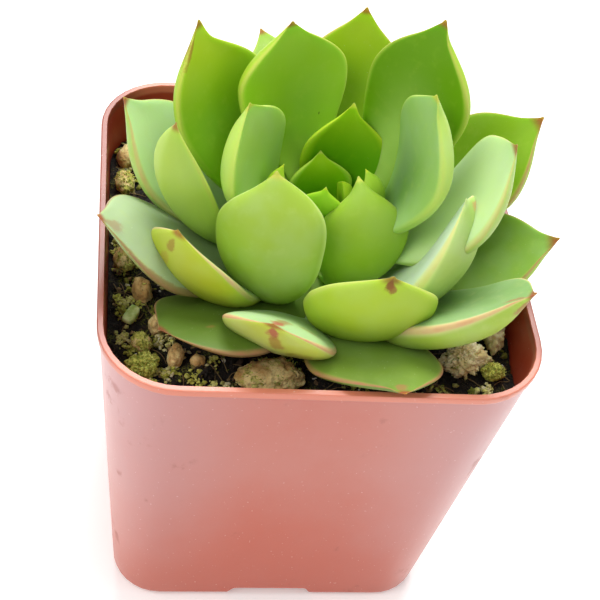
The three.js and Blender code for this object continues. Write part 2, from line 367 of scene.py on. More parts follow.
def ringStack(profile):
    # a closed body from (height, inset) pairs, from the lowest ring to the highest
    bm = bmesh.new()
    sides = pot["sides"]
    bmesh.ops.create_circle(bm, cap_ends=False, segments=sides, radius=1)
    bm.verts.ensure_lookup_table()
    ring = sorted(bm.verts, key=lambda vert: math.atan2(vert.co.y, vert.co.x) % (2 * math.pi))
    edges = list(bm.edges)
    for level, (height, inset) in enumerate(profile):
        if level:
            order = {vert: i for i, vert in enumerate(ring)}
            made = bmesh.ops.extrude_edge_only(bm, edges=edges)["geom"]
            verts = [item for item in made if isinstance(item, bmesh.types.BMVert)]
            edges = [
                edge for edge in made
                if isinstance(edge, bmesh.types.BMEdge) and all(v in set(verts) for v in edge.verts)
            ]
            fresh = {}
            for vert in verts:
                old = [edge.other_vert(vert) for edge in vert.link_edges]
                fresh[next(order[v] for v in old if v in order)] = vert
            ring = [fresh[i] for i in range(sides)]
        half, corner = potOutline(height, inset)
        for i, vert in enumerate(ring):
            x, y = roundedSquarePoint(i / sides, half, corner)
            vert.co = Vector((x, y, height))
    bmesh.ops.holes_fill(bm, edges=bm.edges, sides=0)
    bmesh.ops.recalc_face_normals(bm, faces=bm.faces)
    return bm


def channelBar(extra, height, turn):
    # a long bar with slanting sides, laid across the pot's foot
    bm = bmesh.new()
    bmesh.ops.create_cube(bm, size=1)
    low, high = pot["channelBaseHalf"] + extra, pot["channelTopHalf"] + extra
    for vert in bm.verts:
        top = vert.co.z > 0
        across = math.copysign(high if top else low + (low - high) / height, vert.co.x)
        vert.co = Vector((across, vert.co.y * 90, height if top else -1))
    bevelled = []
    for edge in bm.edges:
        first, second = (vert.co for vert in edge.verts)
        if min(first.z, second.z) > 0 and abs(first.x - second.x) < 1e-6:
            bevelled.append(edge)
    bmesh.ops.bevel(
        bm, geom=bevelled, offset=0.5, affect="EDGES", segments=3, profile=0.5, material=-1
    )
    bmesh.ops.rotate(bm, matrix=Matrix.Rotation(turn, 3, "Z"), verts=bm.verts)
    return bm


def drainPin(x, y):
    bm = bmesh.new()
    bmesh.ops.create_cone(
        bm, cap_ends=True, segments=40, radius1=pot["drainRadius"], radius2=pot["drainRadius"],
        depth=14, matrix=Matrix.Translation((x, y, 0)),
    )
    return bm


def scratchObject(bm):
    mesh = bpy.data.meshes.new("scratch")
    bm.to_mesh(mesh)
    bm.free()
    made = bpy.data.objects.new("scratch", mesh)
    bpy.context.scene.collection.objects.link(made)
    return made


def carve(body, cutters):
    # cuts the cutters out of the body and leaves only the body
    for cutter in cutters:
        cut = body.modifiers.new("cut", "BOOLEAN")
        cut.operation = "DIFFERENCE"
        cut.solver = "EXACT"
        cut.object = cutter
        bpy.context.view_layer.update()
        solid = bpy.data.meshes.new_from_object(
            body.evaluated_get(bpy.context.evaluated_depsgraph_get())
        )
        body.modifiers.clear()
        body.data = solid
        bpy.data.objects.remove(cutter)


def potPlastic():
    shader = Shader("potPlastic")
    coords = shader.coords()
    sideways, depth, height = (
        shader.node("SeparateXYZ", {}, {"Vector": coords}, output=axis) for axis in "XYZ"
    )
    centred = [
        abs(sideways - potCentre.x / millimetre), abs(depth - potCentre.y / millimetre)
    ]
    corner = shader.node("Math", {"operation": "MINIMUM"}, dict(enumerate(centred))).rise(6, 31)
    low = height.rise(2, 58)
    clouds = shader.noise(coords, 24, 2)
    smudges = shader.noise(shader.coords((1, 1, 1.6)), 4.5, 5, 0.62)
    streaks = shader.noise(shader.coords((1, 1, 9)), 1.6, 4, 0.6)
    specks = shader.noise(coords, 0.5, 1).rise(0.74, 0.79)
    scuffs = smudges.rise(0.58, 0.70) * shader.noise(coords, 11, 2).rise(0.5, 0.62)
    # Painted reflection: the body runs from the deep colour low in the middle of each face to a
    # paler colour higher up and at the corners. This stands in for the bright room mirrored in the
    # plastic, and for the darker floor mirrored low down. Cloudy and smudged variation mixes in.
    haze = low * 0.65 + corner * 0.45 + clouds * 0.5 - 0.25 + (smudges - 0.5) * 0.3
    body = shader.blend(haze.rise(0, 1), tint(*potLook["sheen"]), tint(*potLook["haze"]))
    outside = 1 - shader.attribute("inside")
    # Painted reflection: a pale lilac sheen on the upper parts of the rounded corners, outside only
    lilac = corner * low * (0.45 + clouds * 0.8) * outside
    body = shader.blend(lilac * 0.75, body, tint(*potLook["lilac"]))
    # Painted shade: the inside of the pot takes a darker copy of the plastic's colour, standing in
    # for the shade in its hollow
    body = shader.blend(1 - outside, body, tint(*potLook["inside"]))
    # Painted highlight on the band at the foot of the lip, lighter at the front, and painted shade
    # on the lip along the side walls
    atSides = abs(sideways).rise(28, 34) * depth.rise(-33, -22)
    lip = shader.blend(atSides, tint(*potLook["lip"]), tint(*potLook["lipShadeAtSides"]))
    body = shader.blend(height.rise(68.2, 69), body, lip)
    body = shader.blend(scuffs * 0.4, body, tint(*potLook["scuffs"]))
    body = shader.blend(specks * 0.5, body, tint(*potLook["dust"]))
    shader.put("Base Color", body)
    roughness = smudges * 0.12 + scuffs * 0.2 + streaks * 0.05
    shader.put("Roughness", potLook["roughness"] + roughness)
    shader.put("Subsurface Radius", (1.0, 0.35, 0.25))
    shader.glowInside(0.12, 2)
    shader.put("IOR", 1.5)
    shader.put("Coat Weight", potLook["coat"])
    shader.put("Coat Roughness", 0.16)
    shader.bump(smudges * 0.4 + streaks * 0.3 + clouds * 2.0, 0.12, 0.35)
    return shader.material


def makePot():
    top = pot["height"]
    wall = pot["wall"]
    out = -pot["lipStandsOut"]
    lipBase = top - pot["lipDepth"]
    foot = pot["footRound"]
    outside = [(0, foot)]
    for step in range(1, 5):
        angle = math.pi / 8 * step
        outside.append((foot * (1 - math.cos(angle)), foot * (1 - math.sin(angle))))
    outside += [(share * lipBase, 0) for share in (0.15, 0.4, 0.7, 0.97)]
    outside += [(lipBase, 0.02), (lipBase + 0.3, out + 0.08), (lipBase + 0.55, out)]
    outside += [(top - 0.35, out), (top - 0.1, out + 0.1), (top, out + 0.35)]
    inside = [(wall, wall + 1.2), (wall + 0.4, wall + 0.35), (wall + 1.2, wall)]
    inside += [(30, wall), (top - 0.5, wall), (top - 0.12, wall - 0.06), (top + 0.2, wall - 0.3)]
    room = scratchObject(ringStack(inside))
    raised = pot["channelHeight"] + wall
    carve(room, [scratchObject(channelBar(wall, raised, turn)) for turn in (0, math.pi / 2)])
    body = scratchObject(ringStack(outside))
    cutters = [room]
    cutters += [
        scratchObject(channelBar(0, pot["channelHeight"], turn)) for turn in (0, math.pi / 2)
    ]
    for x, y in ((0, 0), (1, 0), (-1, 0), (0, 1), (0, -1)):
        cutters.append(scratchObject(drainPin(x * pot["drainSpacing"], y * pot["drainSpacing"])))
    carve(body, cutters)
    bm = bmesh.new()
    bm.from_mesh(body.data)
    bpy.data.objects.remove(body)
    inside = bm.verts.layers.float.new("inside")
    for vert in bm.verts:
        depthIn = insidePot(vert.co.x, vert.co.y, vert.co.z, 0)
        vert[inside] = smooth(0.3, 0.7, depthIn) * smooth(70.0, 69.6, vert.co.z)
    piece = addPiece("nurseryPot", bm, potPlastic(), ["pot"], sharpAngle=32)
    piece.modifiers.new("evenShading", "WEIGHTED_NORMAL").keep_sharp = True
    print("pot:", len(piece.data.polygons), "faces")


makePot()


# Potting mix, with its grit, rootlets and moss

mix = {
    "level": 61,
    "dipAtStem": 1.6,
    "dipRadius": 11,
    "stem": (1.5, 2.5),
    "gap": 0.12,
    "foot": 4.2,
    "cells": 150,
    "grit": 2200,
    "clumps": 210,
    "mossSpots": (
        (-29, -19), (-26, -27), (-24, -18.5), (-30, -11), (-20, -28), (-16, -29.5), (27, -26),
        (21, -28), (-31, 5), (-30, 27), (15, -30), (-23, -25), (-2, -30),
    ),
    "rootlets": 260,
}


mixLook = {
    "wet": (8, 6, 4),
    "peat": (44, 35, 26),
    "bark": (120, 96, 62),
    "algae": (128, 134, 34),
    "chalk": (206, 206, 130),
}
# the colour of a grain by its shade, from black peat to white chips
gritShades = [
    (0.0, (10, 8, 6)), (0.4, (38, 30, 22)), (0.55, (92, 70, 46)), (0.65, (166, 136, 92)),
    (0.72, (96, 104, 20)), (0.85, (200, 204, 84)), (0.93, (226, 220, 150)),
    (0.99, (236, 234, 226)),
]
rootletLook = {"dark": (44, 32, 18), "light": (150, 126, 80), "thickness": 0.075}


def mixHeight(x, y):
    fromStem = math.hypot(x - mix["stem"][0], y - mix["stem"][1])
    dip = mix["dipAtStem"] * max(0, 1 - fromStem / mix["dipRadius"])
    return mix["level"] - dip + 0.35 * math.sin(x * 0.31 + 1) * math.cos(y * 0.27)


def roughMixHeight(x, y):
    # the mix with its clods and pits
    clods = noise.fractal(Vector((x * 0.22, y * 0.22, 3)), 0.8, 2.1, 5)
    crumbs = noise.noise(Vector((x * 1.1, y * 1.1, 8)))
    pits = abs(noise.noise(Vector((x * 0.55, y * 0.55, 21))))
    return mixHeight(x, y) - 0.55 + 0.95 * clods + 0.35 * crumbs + 0.8 * pits


def mixMaterial():
    shader = Shader("peat")
    coords = shader.coords()
    clods = shader.noise(coords, 2.6, 4, 0.6)
    crumbs = shader.noise(coords, 0.6, 5, 0.7)
    grains = shader.noise(coords, 0.25, 4, 0.7)
    patches = shader.noise(coords, 5.0, 3, 0.6)
    body = shader.blend(crumbs.rise(0.38, 0.72), tint(*mixLook["wet"]), tint(*mixLook["peat"]))
    bark = grains.rise(0.56, 0.66) * clods.rise(0.4, 0.6)
    body = shader.blend(bark, body, tint(*mixLook["bark"]))
    algae = grains.rise(0.46, 0.60) * patches.rise(0.50, 0.62)
    body = shader.blend(algae * 0.9, body, tint(*mixLook["algae"]))
    pale = grains.rise(0.60, 0.68) * patches.rise(0.56, 0.66)
    body = shader.blend(pale * 0.8, body, tint(*mixLook["chalk"]))
    shader.put("Base Color", body)
    shader.put("Roughness", 0.75 + crumbs * 0.2)
    shader.bump(crumbs + clods + grains * 0.7, 0.8, 1.0)
    return shader.material


def makeMix():
    bm = bmesh.new()
    cells = mix["cells"]
    bmesh.ops.create_grid(bm, x_segments=cells, y_segments=cells, size=1)
    inset = pot["wall"] + mix["gap"]
    half, corner = potOutline(mix["level"], inset)
    for vert in bm.verts:
        # a square grid drawn onto the round-cornered square, ring by ring
        reach = max(abs(vert.co.x), abs(vert.co.y))
        if reach > 0:
            angle = math.atan2(vert.co.y, vert.co.x)
            if abs(vert.co.x) >= abs(vert.co.y):
                side = vert.co.y / reach
                quarter = 0 if vert.co.x > 0 else 2
                side = side if vert.co.x > 0 else -side
            else:
                side = -vert.co.x / reach if vert.co.y > 0 else vert.co.x / reach
                quarter = 1 if vert.co.y > 0 else 3
            share = (quarter + side / 2) / 4
            straight = half - corner
            offset = (straight / (straight + corner * math.pi / 4)) / 8
            x, y = roundedSquarePoint(share + offset, half, corner)
            vert.co = Vector((x * reach, y * reach, 0))
    for vert in bm.verts:
        vert.co.z = roughMixHeight(vert.co.x, vert.co.y)
    rim = [edge for edge in bm.edges if edge.is_boundary]
    made = bmesh.ops.extrude_edge_only(bm, edges=rim)["geom"]
    lower = [item for item in made if isinstance(item, bmesh.types.BMVert)]
    footHalf = potOutline(mix["foot"], inset)[0]
    for vert in lower:
        vert.co.x *= footHalf / half
        vert.co.y *= footHalf / half
        vert.co.z = mix["foot"]
    bmesh.ops.holes_fill(bm, edges=[edge for edge in bm.edges if edge.is_boundary], sides=0)
    bmesh.ops.recalc_face_normals(bm, faces=bm.faces)
    addPiece("pottingMix", bm, mixMaterial(), ["potting_mix"])


def scatterSpot(dice, inset):
    # a spot on the mix, inside the pot
    while True:
        x, y = dice.uniform(-34, 34), dice.uniform(-34, 34)
        if insidePot(x, y, mix["level"], pot["wall"] + inset) > 0:
            return x, y


def roundTurn(dice):
    turn = Matrix.Rotation(dice.uniform(0, math.tau), 4, "X")
    return turn @ Matrix.Rotation(dice.uniform(0, math.tau), 4, "Y")


def gritMaterial():
    shader = Shader("grit")
    coords = shader.coords()
    fine = shader.noise(coords, 0.35, 4, 0.65)
    stops = [(position, tint(*colour)) for position, colour in gritShades]
    ramp = shader.node("ValToRGB", {"stops": stops}, {"Fac": shader.attribute("shade")})
    body = shader.blend(fine.rise(0.4, 0.7) * 0.45, ramp, tint(30, 24, 14))
    shader.put("Base Color", body)
    shader.put("Roughness", 0.8 + fine * 0.15)
    shader.bump(fine, 0.25, 0.8)
    return shader.material


def addCrumb(bm, dice, x, y, size, value, lift):
    shade = bm.verts.layers.float["shade"]
    stretch = Matrix.Diagonal((1, dice.uniform(0.5, 0.9), dice.uniform(0.4, 0.8), 1))
    height = roughMixHeight(x, y) + size * 0.15 + lift
    matrix = Matrix.Translation((x, y, height)) @ roundTurn(dice) @ stretch
    made = bmesh.ops.create_icosphere(bm, subdivisions=1, radius=size, matrix=matrix)["verts"]
    for vert in made:
        vert.co += Vector([dice.uniform(-0.2, 0.2) * size for axis in range(3)])
        vert[shade] = value + dice.uniform(-0.04, 0.04)


def makeGrit():
    dice = random.Random(41)
    bm = bmesh.new()
    bm.verts.layers.float.new("shade")
    for count in range(mix["grit"]):
        x, y = scatterSpot(dice, 0.9)
        value = dice.random()
        size = dice.choice((0.2, 0.3, 0.4, 0.6)) * dice.uniform(0.8, 1.3)
        addCrumb(bm, dice, x, y, size, value, 0)
    for clump in range(mix["clumps"]):  # knots of moss, grit and chips
        if clump % 3:
            x, y = scatterSpot(dice, 1.6)
            value = dice.choice((0.3, 0.62, 0.74, 0.8, 0.86, 0.86, 0.94))
        else:
            x, y = dice.choice(mix["mossSpots"])
            x, y = x + dice.gauss(0, 1.2), y + dice.gauss(0, 1.2)
            value = dice.choice((0.8, 0.86, 0.9, 0.93))
        spread = dice.uniform(0.6, 1.5)
        for crumb in range(int(14 * spread)):
            dx, dy = dice.gauss(0, spread * 0.6), dice.gauss(0, spread * 0.6)
            if insidePot(x + dx, y + dy, mix["level"], pot["wall"] + 0.6) > 0:
                lift = max(0, spread * 0.7 - 0.5 * math.hypot(dx, dy))
                addCrumb(bm, dice, x + dx, y + dy, dice.uniform(0.2, 0.55), value, lift)
    addPiece("grit", bm, gritMaterial(), sharpAngle=50)


def rootletMaterial():
    shader = Shader("rootlet")
    fine = shader.noise(shader.coords(), 1.2, 2)
    shader.put("Base Color", shader.blend(
        fine, tint(*rootletLook["dark"]), tint(*rootletLook["light"])
    ))
    shader.put("Roughness", 0.7 + fine * 0.2)
    return shader.material


def makeRootlets():
    dice = random.Random(7)
    curve = bpy.data.curves.new("rootlets", "CURVE")
    curve.dimensions = "3D"
    curve.bevel_depth = rootletLook["thickness"] * millimetre
    curve.bevel_resolution = 1
    curve.resolution_u = 3
    for count in range(mix["rootlets"]):
        x, y = scatterSpot(dice, 2.0)
        heading = dice.uniform(0, math.tau)
        spline = curve.splines.new("BEZIER")
        steps = dice.randint(3, 6)
        spline.bezier_points.add(steps - 1)
        for step, point in enumerate(spline.bezier_points):
            lift = 0.25 + 0.5 * math.sin(math.pi * step / (steps - 1)) * dice.random()
            height = roughMixHeight(x, y) + lift
            point.co = potCentre + Vector((x, y, height)) * millimetre
            point.handle_left_type = "AUTO"
            point.handle_right_type = "AUTO"
            heading += dice.uniform(-0.8, 0.8)
            nextX = x + 1.5 * math.cos(heading)
            nextY = y + 1.5 * math.sin(heading)
            if insidePot(nextX, nextY, mix["level"], pot["wall"] + 0.6) > 0:
                x, y = nextX, nextY
            else:
                heading += math.pi / 2
    bent = bpy.data.objects.new("rootletCurves", curve)
    bpy.context.scene.collection.objects.link(bent)
    bpy.context.view_layer.update()
    graph = bpy.context.evaluated_depsgraph_get()
    mesh = bpy.data.meshes.new_from_object(bent.evaluated_get(graph))
    bpy.data.objects.remove(bent)
    addMesh("rootlets", mesh, rootletMaterial())


makeMix()
makeGrit()
makeRootlets()
print("potting mix, grit and rootlets")


# Stones, pumice and moss

lumpFields = ("at", "size", "turn", "moss")
lumps = {
    "stone_front": ((-7.6, -25.4, 61.9), (10.6, 6.0, 5.6), 5, 0.42),
    "stone_left_wedge": ((-27.6, -8.6, 62.2), (3.2, 4.2, 4.4), 20, 0.1),
    "stone_left_cream": ((-25.3, -15.6, 62.0), (2.6, 3.4, 3.6), -10, 0.2),
    "stone_left_mossy": ((-27.7, -19.4, 62.0), (3.0, 3.6, 3.4), 35, 0.7),
    "stone_front_tan": ((-22.4, -22.0, 62.1), (2.6, 4.0, 3.6), -12, 0.0),
    "stone_front_small": ((-18.9, -22.6, 61.7), (2.4, 2.2, 2.4), 0, 0.1),
    "stone_back_left": ((-30.5, -1.6, 61.9), (3.4, 5.0, 3.4), 6, 0.6),
    "stone_back_orange": ((-30.2, 23.4, 61.9), (3.2, 5.0, 3.4), -6, 0.2),
    "stone_back_mossy": ((-30.4, 16.8, 61.8), (3.4, 5.2, 3.2), 8, 0.7),
    "pumice_right": ((24.6, -20.8, 62.2), (7.8, 5.2, 5.2), 20, 0.25),
    "pumice_right_back": ((30.6, -15.4, 62.2), (3.2, 5.6, 4.8), -8, 0.2),
    "moss_front_left": ((-27.6, -24.1, 61.8), (5.6, 4.4, 3.4), 50, 1.0),
    "moss_right": ((29.2, -23.0, 61.8), (3.8, 3.0, 3.0), 0, 1.0),
}

mossLook = {
    "low": (104, 116, 24), "high": (206, 208, 96),
    "tuftLow": (120, 130, 34), "tuftHigh": (222, 222, 116), "openTufts": 26,
}
lumpLooks = {
    "stone": {
        "light": (240, 218, 150), "dark": (190, 152, 88),
        "pits": 0.12, "pores": 0.12, "grain": 0.45,
    },
    "pumice": {
        "light": (252, 242, 196), "dark": (224, 204, 140),
        "pits": 0.24, "pores": 0.34, "grain": 0.2,
    },
    "moss": {
        "light": (230, 228, 124), "dark": (160, 166, 58),
        "pits": 0.24, "pores": 0.34, "grain": 0.3,
    },
}


def lumpMaterial(kind, mossShare):
    look = lumpLooks[kind]
    shader = Shader(kind + "Rough")
    coords = shader.coords()
    broad = shader.noise(coords, 2.4, 3)
    fine = shader.noise(coords, 0.45, 5, 0.65)
    patch = shader.noise(coords, 1.5, 4, 0.6)
    cavity = shader.attribute("cavity")
    body = shader.blend(broad.rise(0.35, 0.65), tint(*look["dark"]), tint(*look["light"]))
    body = shader.blend(fine.rise(0.5, 0.7) * look["grain"], body, tint(120, 92, 56))
    moss = shader.blend(
        fine.rise(0.35, 0.65), tint(*mossLook["low"]), tint(*mossLook["high"])
    )
    cover = (patch + cavity * 0.12).rise(0.72 - 0.40 * mossShare, 0.78 - 0.34 * mossShare)
    body = shader.blend(cover * min(1, 0.25 + mossShare), body, moss)
    # Painted shade: pits and pores are darkened to a near-black brown
    body = shader.blend(cavity.rise(0.35, 0.95) * 0.85, body, tint(34, 26, 14))
    shader.put("Base Color", body)
    shader.put("Roughness", 0.85 + fine * 0.1)
    shader.glowInside(0.1, 0.8)
    shader.bump(fine + patch * 0.5, 0.3, 0.8)
    return shader.material


def mossTufts(bm, dice, lump, count):
    # short blades standing on the upper half of a lump
    sizes = lump["size"]
    turn = Matrix.Rotation(math.radians(lump["turn"]), 4, "Z")
    for blade in range(count):
        out = Vector((dice.gauss(0, 1), dice.gauss(0, 1), abs(dice.gauss(0, 1)) + 0.2)).normalized()
        spot = Vector((out.x * sizes[0], out.y * sizes[1], out.z * sizes[2])) / 2
        lean = out + Vector([dice.uniform(-0.5, 0.5) for axis in range(3)])
        aim = lean.to_track_quat("Z", "Y").to_matrix().to_4x4()
        place = Matrix.Translation(Vector(lump["at"])) @ turn
        matrix = place @ Matrix.Translation(spot * 0.98) @ aim
        bmesh.ops.create_cone(
            bm, cap_ends=True, segments=4, radius1=dice.uniform(0.14, 0.26), radius2=0.03,
            depth=dice.uniform(0.4, 0.9), matrix=matrix,
        )


def tuftMaterial():
    shader = Shader("mossTuft")
    fine = shader.noise(shader.coords(), 0.9, 3)
    low, high = tint(*mossLook["tuftLow"]), tint(*mossLook["tuftHigh"])
    shader.put("Base Color", shader.blend(fine.rise(0.35, 0.65), low, high))
    shader.put("Roughness", 0.7 + fine * 0.2)
    shader.glowInside(0.2, 0.8)
    return shader.material


def makeLump(name, lump, seed):
    kind = name.split("_")[0]
    look = lumpLooks[kind]
    bm = bmesh.new()
    finer = 6 if max(lump["size"]) > 6 else 5
    bmesh.ops.create_icosphere(bm, subdivisions=finer, radius=1)
    cavity = bm.verts.layers.float.new("cavity")
    size = Vector(lump["size"])
    for vert in bm.verts:
        spot = vert.co.copy()
        wave = math.sin(5.3 * spot.x + seed) * math.cos(4.1 * spot.y - seed)
        wave += 0.6 * math.sin(6.7 * spot.z + 2 * seed)
        real = Vector((spot.x * size.x, spot.y * size.y, spot.z * size.z)) / 2
        away = Vector((seed * 7, seed * 3, 0))
        chips = noise.fractal(real * 0.7 + away, 0.7, 2.2, 4)
        knobs = abs(noise.noise(real * 0.95 + away)) + 0.5 * abs(noise.noise(real * 2.1 + away))
        pores = abs(noise.noise(real * 2.6 - away))
        scale = 1 + 0.06 * wave + look["pits"] * chips * 0.8
        scale += look["pores"] * (knobs - 0.35) + 0.25 * look["pores"] * (pores - 0.25)
        vert.co = real * scale
        # cavity marks how deep a point lies in a pit or pore; it adds moss there and steers the
        # painted shade in the pits
        vert[cavity] = smooth(0.22, 0.0, knobs) * 0.8 + smooth(0.08, 0.0, pores) * 0.35
    bmesh.ops.smooth_vert(
        bm, verts=bm.verts, factor=0.3, use_axis_x=True, use_axis_y=True, use_axis_z=True
    )
    bmesh.ops.rotate(bm, matrix=Matrix.Rotation(math.radians(lump["turn"]), 3, "Z"), verts=bm.verts)
    bmesh.ops.translate(bm, vec=lump["at"], verts=bm.verts)
    addPiece(pieceName(name), bm, lumpMaterial(kind, lump["moss"]), [name])


def makeLumps():
    tufts = bmesh.new()
    dice = random.Random(19)
    for seed, (name, row) in enumerate(lumps.items(), start=1):
        lump = dict(zip(lumpFields, row))
        makeLump(name, lump, seed)
        area = lump["size"][0] * lump["size"][1]
        mossTufts(tufts, dice, lump, int(area * 9 * lump["moss"] ** 2))
    for patch in range(mossLook["openTufts"]):  # small tufts on the open mix
        x, y = scatterSpot(dice, 1.4)
        spot = {
            "at": (x, y, roughMixHeight(x, y)),
            "size": (dice.uniform(1, 2.4), dice.uniform(1, 2.4), 0.9),
            "turn": 0,
        }
        mossTufts(tufts, dice, spot, 36)
    addPiece("mossTufts", tufts, tuftMaterial())


fragment = {
    "at": (-29.4, -14.1, 62.3), "size": (3.6, 2.0, 1.4), "turn": 62,
    "fresh": (150, 180, 70), "dried": (214, 228, 160),
}


def makeFragment():
    shader = Shader("cutLeaf")
    fine = shader.noise(shader.coords(), 1.4, 3)
    fresh, dried = tint(*fragment["fresh"]), tint(*fragment["dried"])
    shader.put("Base Color", shader.blend(fine.rise(0.3, 0.7), fresh, dried))
    shader.put("Roughness", 0.45 + 0.2 * fine)
    shader.glowInside(0.3, 1)
    bm = bmesh.new()
    bmesh.ops.create_cube(bm, size=1)
    bmesh.ops.bevel(
        bm, geom=bm.edges[:], offset=0.3, affect="EDGES", segments=4, profile=0.5, material=-1
    )
    bmesh.ops.scale(bm, vec=fragment["size"], verts=bm.verts)
    for vert in bm.verts:
        vert.co.z += 0.12 * vert.co.x ** 2 - 0.1
    bmesh.ops.rotate(
        bm, matrix=Matrix.Rotation(math.radians(fragment["turn"]), 3, "Z"), verts=bm.verts
    )
    bmesh.ops.translate(bm, vec=fragment["at"], verts=bm.verts)
    addPiece("leafFragment", bm, shader.material, ["leaf_fragment"], levels=1)


makeLumps()
makeFragment()
print("stones, pumice and moss")


# Leaves

# share of the length, of the width (pointed, then blunt) and of the thickness
leafStations = [
    (0.0, 0.22, 0.22, 0.30), (0.1, 0.28, 0.28, 0.40), (0.22, 0.42, 0.42, 0.58),
    (0.36, 0.68, 0.68, 0.82), (0.5, 0.9, 0.9, 0.98), (0.62, 0.99, 0.99, 1.0),
    (0.72, 0.98, 1.0, 0.94), (0.8, 0.83, 0.95, 0.82), (0.87, 0.58, 0.82, 0.6),
    (0.935, 0.27, 0.52, 0.32), (1.0, 0.05, 0.06, 0.06), (1.02, 0.012, 0.012, 0.02),
]
# where the leaf's rings lie along it, close together at the tip
leafRings = [
    -0.01, 0.0, 0.05, 0.11, 0.18, 0.26, 0.34, 0.42, 0.5, 0.57, 0.64, 0.7, 0.75, 0.8, 0.84, 0.875,
    0.905, 0.93, 0.955, 0.975, 0.99, 1.0, 1.008, 1.014, 1.018,
]
leafAround = 20
leafFields = (
    "turn", "tilt", "tipTilt", "length", "width", "roll", "sweep", "height", "curl", "dish",
    "thickness", "blunt", "skew", "start",
)
leafRows = {
    "heart_leaf_front": (-105, 44, 92, 14, 7, 0, 0, 72, 1.1, 0, 1.8, -0.4, 0, 3.2),
    "heart_leaf_right": (29, 60, 119, 8.5, 4, -4, -13, 68.5, 1, 0.4, 1.7, 0, 0, 3.2),
    "heart_leaf_back_right": (-32, 30, 126, 17.5, 8.5, 12, -1, 68.5, 0.9, 0.7, 2.6, 0, 0, 3.2),
    "heart_leaf_left": (195, 35, 103, 17, 5.5, -7, -2, 68, 0.9, 0.7, 2.6, 0, 0, 3.2),
    "inner_leaf_back": (100, 91, 65, 17, 11.5, 2, 1, 63, 1.4, 0.6, 2.5, -0.1, 0.1, 2.6),
    "inner_leaf_back_right": (57, 90, 67, 27, 15.5, 2, 38, 60, 1.3, 1.4, 3, -0.2, 0.3, 6),
    "inner_leaf_front": (-67, 14, 144, 30, 15.5, -16, -7, 61, 0.9, 1.2, 3.5, -0.2, 0, 4),
    "inner_leaf_front_left": (-135, -26, 125, 38, 18.5, -14, 44, 60.5, 0.6, 0.9, 4.4, 0.7, -0.4, 4),
    "inner_leaf_right": (-30, 4, 102, 36.5, 20, 18, 29, 69, 0.4, 0.5, 4.2, 0, -0.5, 4),
    "inner_leaf_left": (182, 31, 86, 32.5, 19.5, -25, -9, 63, 0.4, 1, 4.3, 0.3, 0, 4),
    "middle_leaf_back": (114, 32, 89, 30.5, 21.5, 3, 3, 71, 0.9, 1, 4.4, 0, 0, 4),
    "middle_leaf_back_right": (25, 23, 93, 42, 19.5, 16, 6, 67, 0.4, 1.1, 4.4, -0.2, 0.3, 4),
    "middle_leaf_back_left": (144, 27, 73, 42, 21.5, -10, 3, 62, 0.6, 0.8, 4.4, -0.2, -0.4, 4),
    "middle_leaf_left": (194, 10, 94, 40, 11.5, 31, -13, 63.5, 1, 1.7, 3.6, 0.5, 0, 4),
    "middle_leaf_right": (-28, 5, 84, 39.5, 22, 2, 25, 67, 0.7, 0, 4.2, 0.5, -0.3, 4),
    "middle_leaf_front_right": (-42, -17, 104, 39, 22, -1, 15, 62, 0.7, -0.8, 6, 0.6, 0.1, 4),
    "middle_leaf_front": (-77, -8, 84, 38.5, 20.5, -12, -4, 60, 0.7, 1.6, 4.5, 0.8, 0, 4),
    "middle_leaf_left_low": (217, -8, 81, 37.5, 18, 15, -7, 61, 0.9, 0.3, 4.3, 0.7, 0, 4),
    "middle_leaf_front_left": (-107, -15, 64, 40, 18.5, 0, -6, 59, 0.6, -1.8, 4.8, 0.9, 0, 4),
    "outer_leaf_back": (76, 19, 80, 37, 19.5, 8, 0, 66.5, 1, 1.1, 4.3, 0, 0, 4),
    "outer_leaf_back_low": (94, 24, 30, 37, 17, -4, 23, 63.5, 1, 1, 4.4, 0, 0, 4),
    "outer_leaf_back_right": (13, 15, 61, 41, 20.5, 10, -7, 63.5, 0.9, 0.9, 4.4, 0, 0, 4),
    "outer_leaf_back_left": (161, 9, 61, 40.5, 20, -11, 13, 60.5, 0.7, 0.8, 4.3, 0, 0, 4),
    "outer_leaf_right": (-14, 6, 54, 39.5, 17.5, 18, -6, 61, 1.3, 0.7, 4.3, 0, 0, 4),
    "outer_leaf_left": (198, -16, 49, 42, 20.5, -5, 6, 60.5, 0.4, -2.2, 4.2, 0.1, 0, 4),
    "outer_leaf_front_right": (-64, -22, 55, 45.5, 19, -17, 43, 60.5, 0.4, 0.8, 5, 0.5, 1, 4),
    "outer_leaf_front_left": (242, -2, 27, 36.5, 23.5, 20, -39, 61, 0.6, -1.2, 3.9, 0.7, -0.2, 4),
    "outer_leaf_front": (-77, -5, 39, 41, 21.5, -2, -5, 61, 0.7, -1.8, 3.5, -0.1, -0.5, 4),
}

# what all the leaves share
leafSkin = {
    "base": (176, 208, 98), "bloom": (186, 214, 172), "specks": (216, 226, 190),
    "rim": 0.5, "rimFrom": 0.88, "tipFrom": 0.972, "specular": 0.22,
}
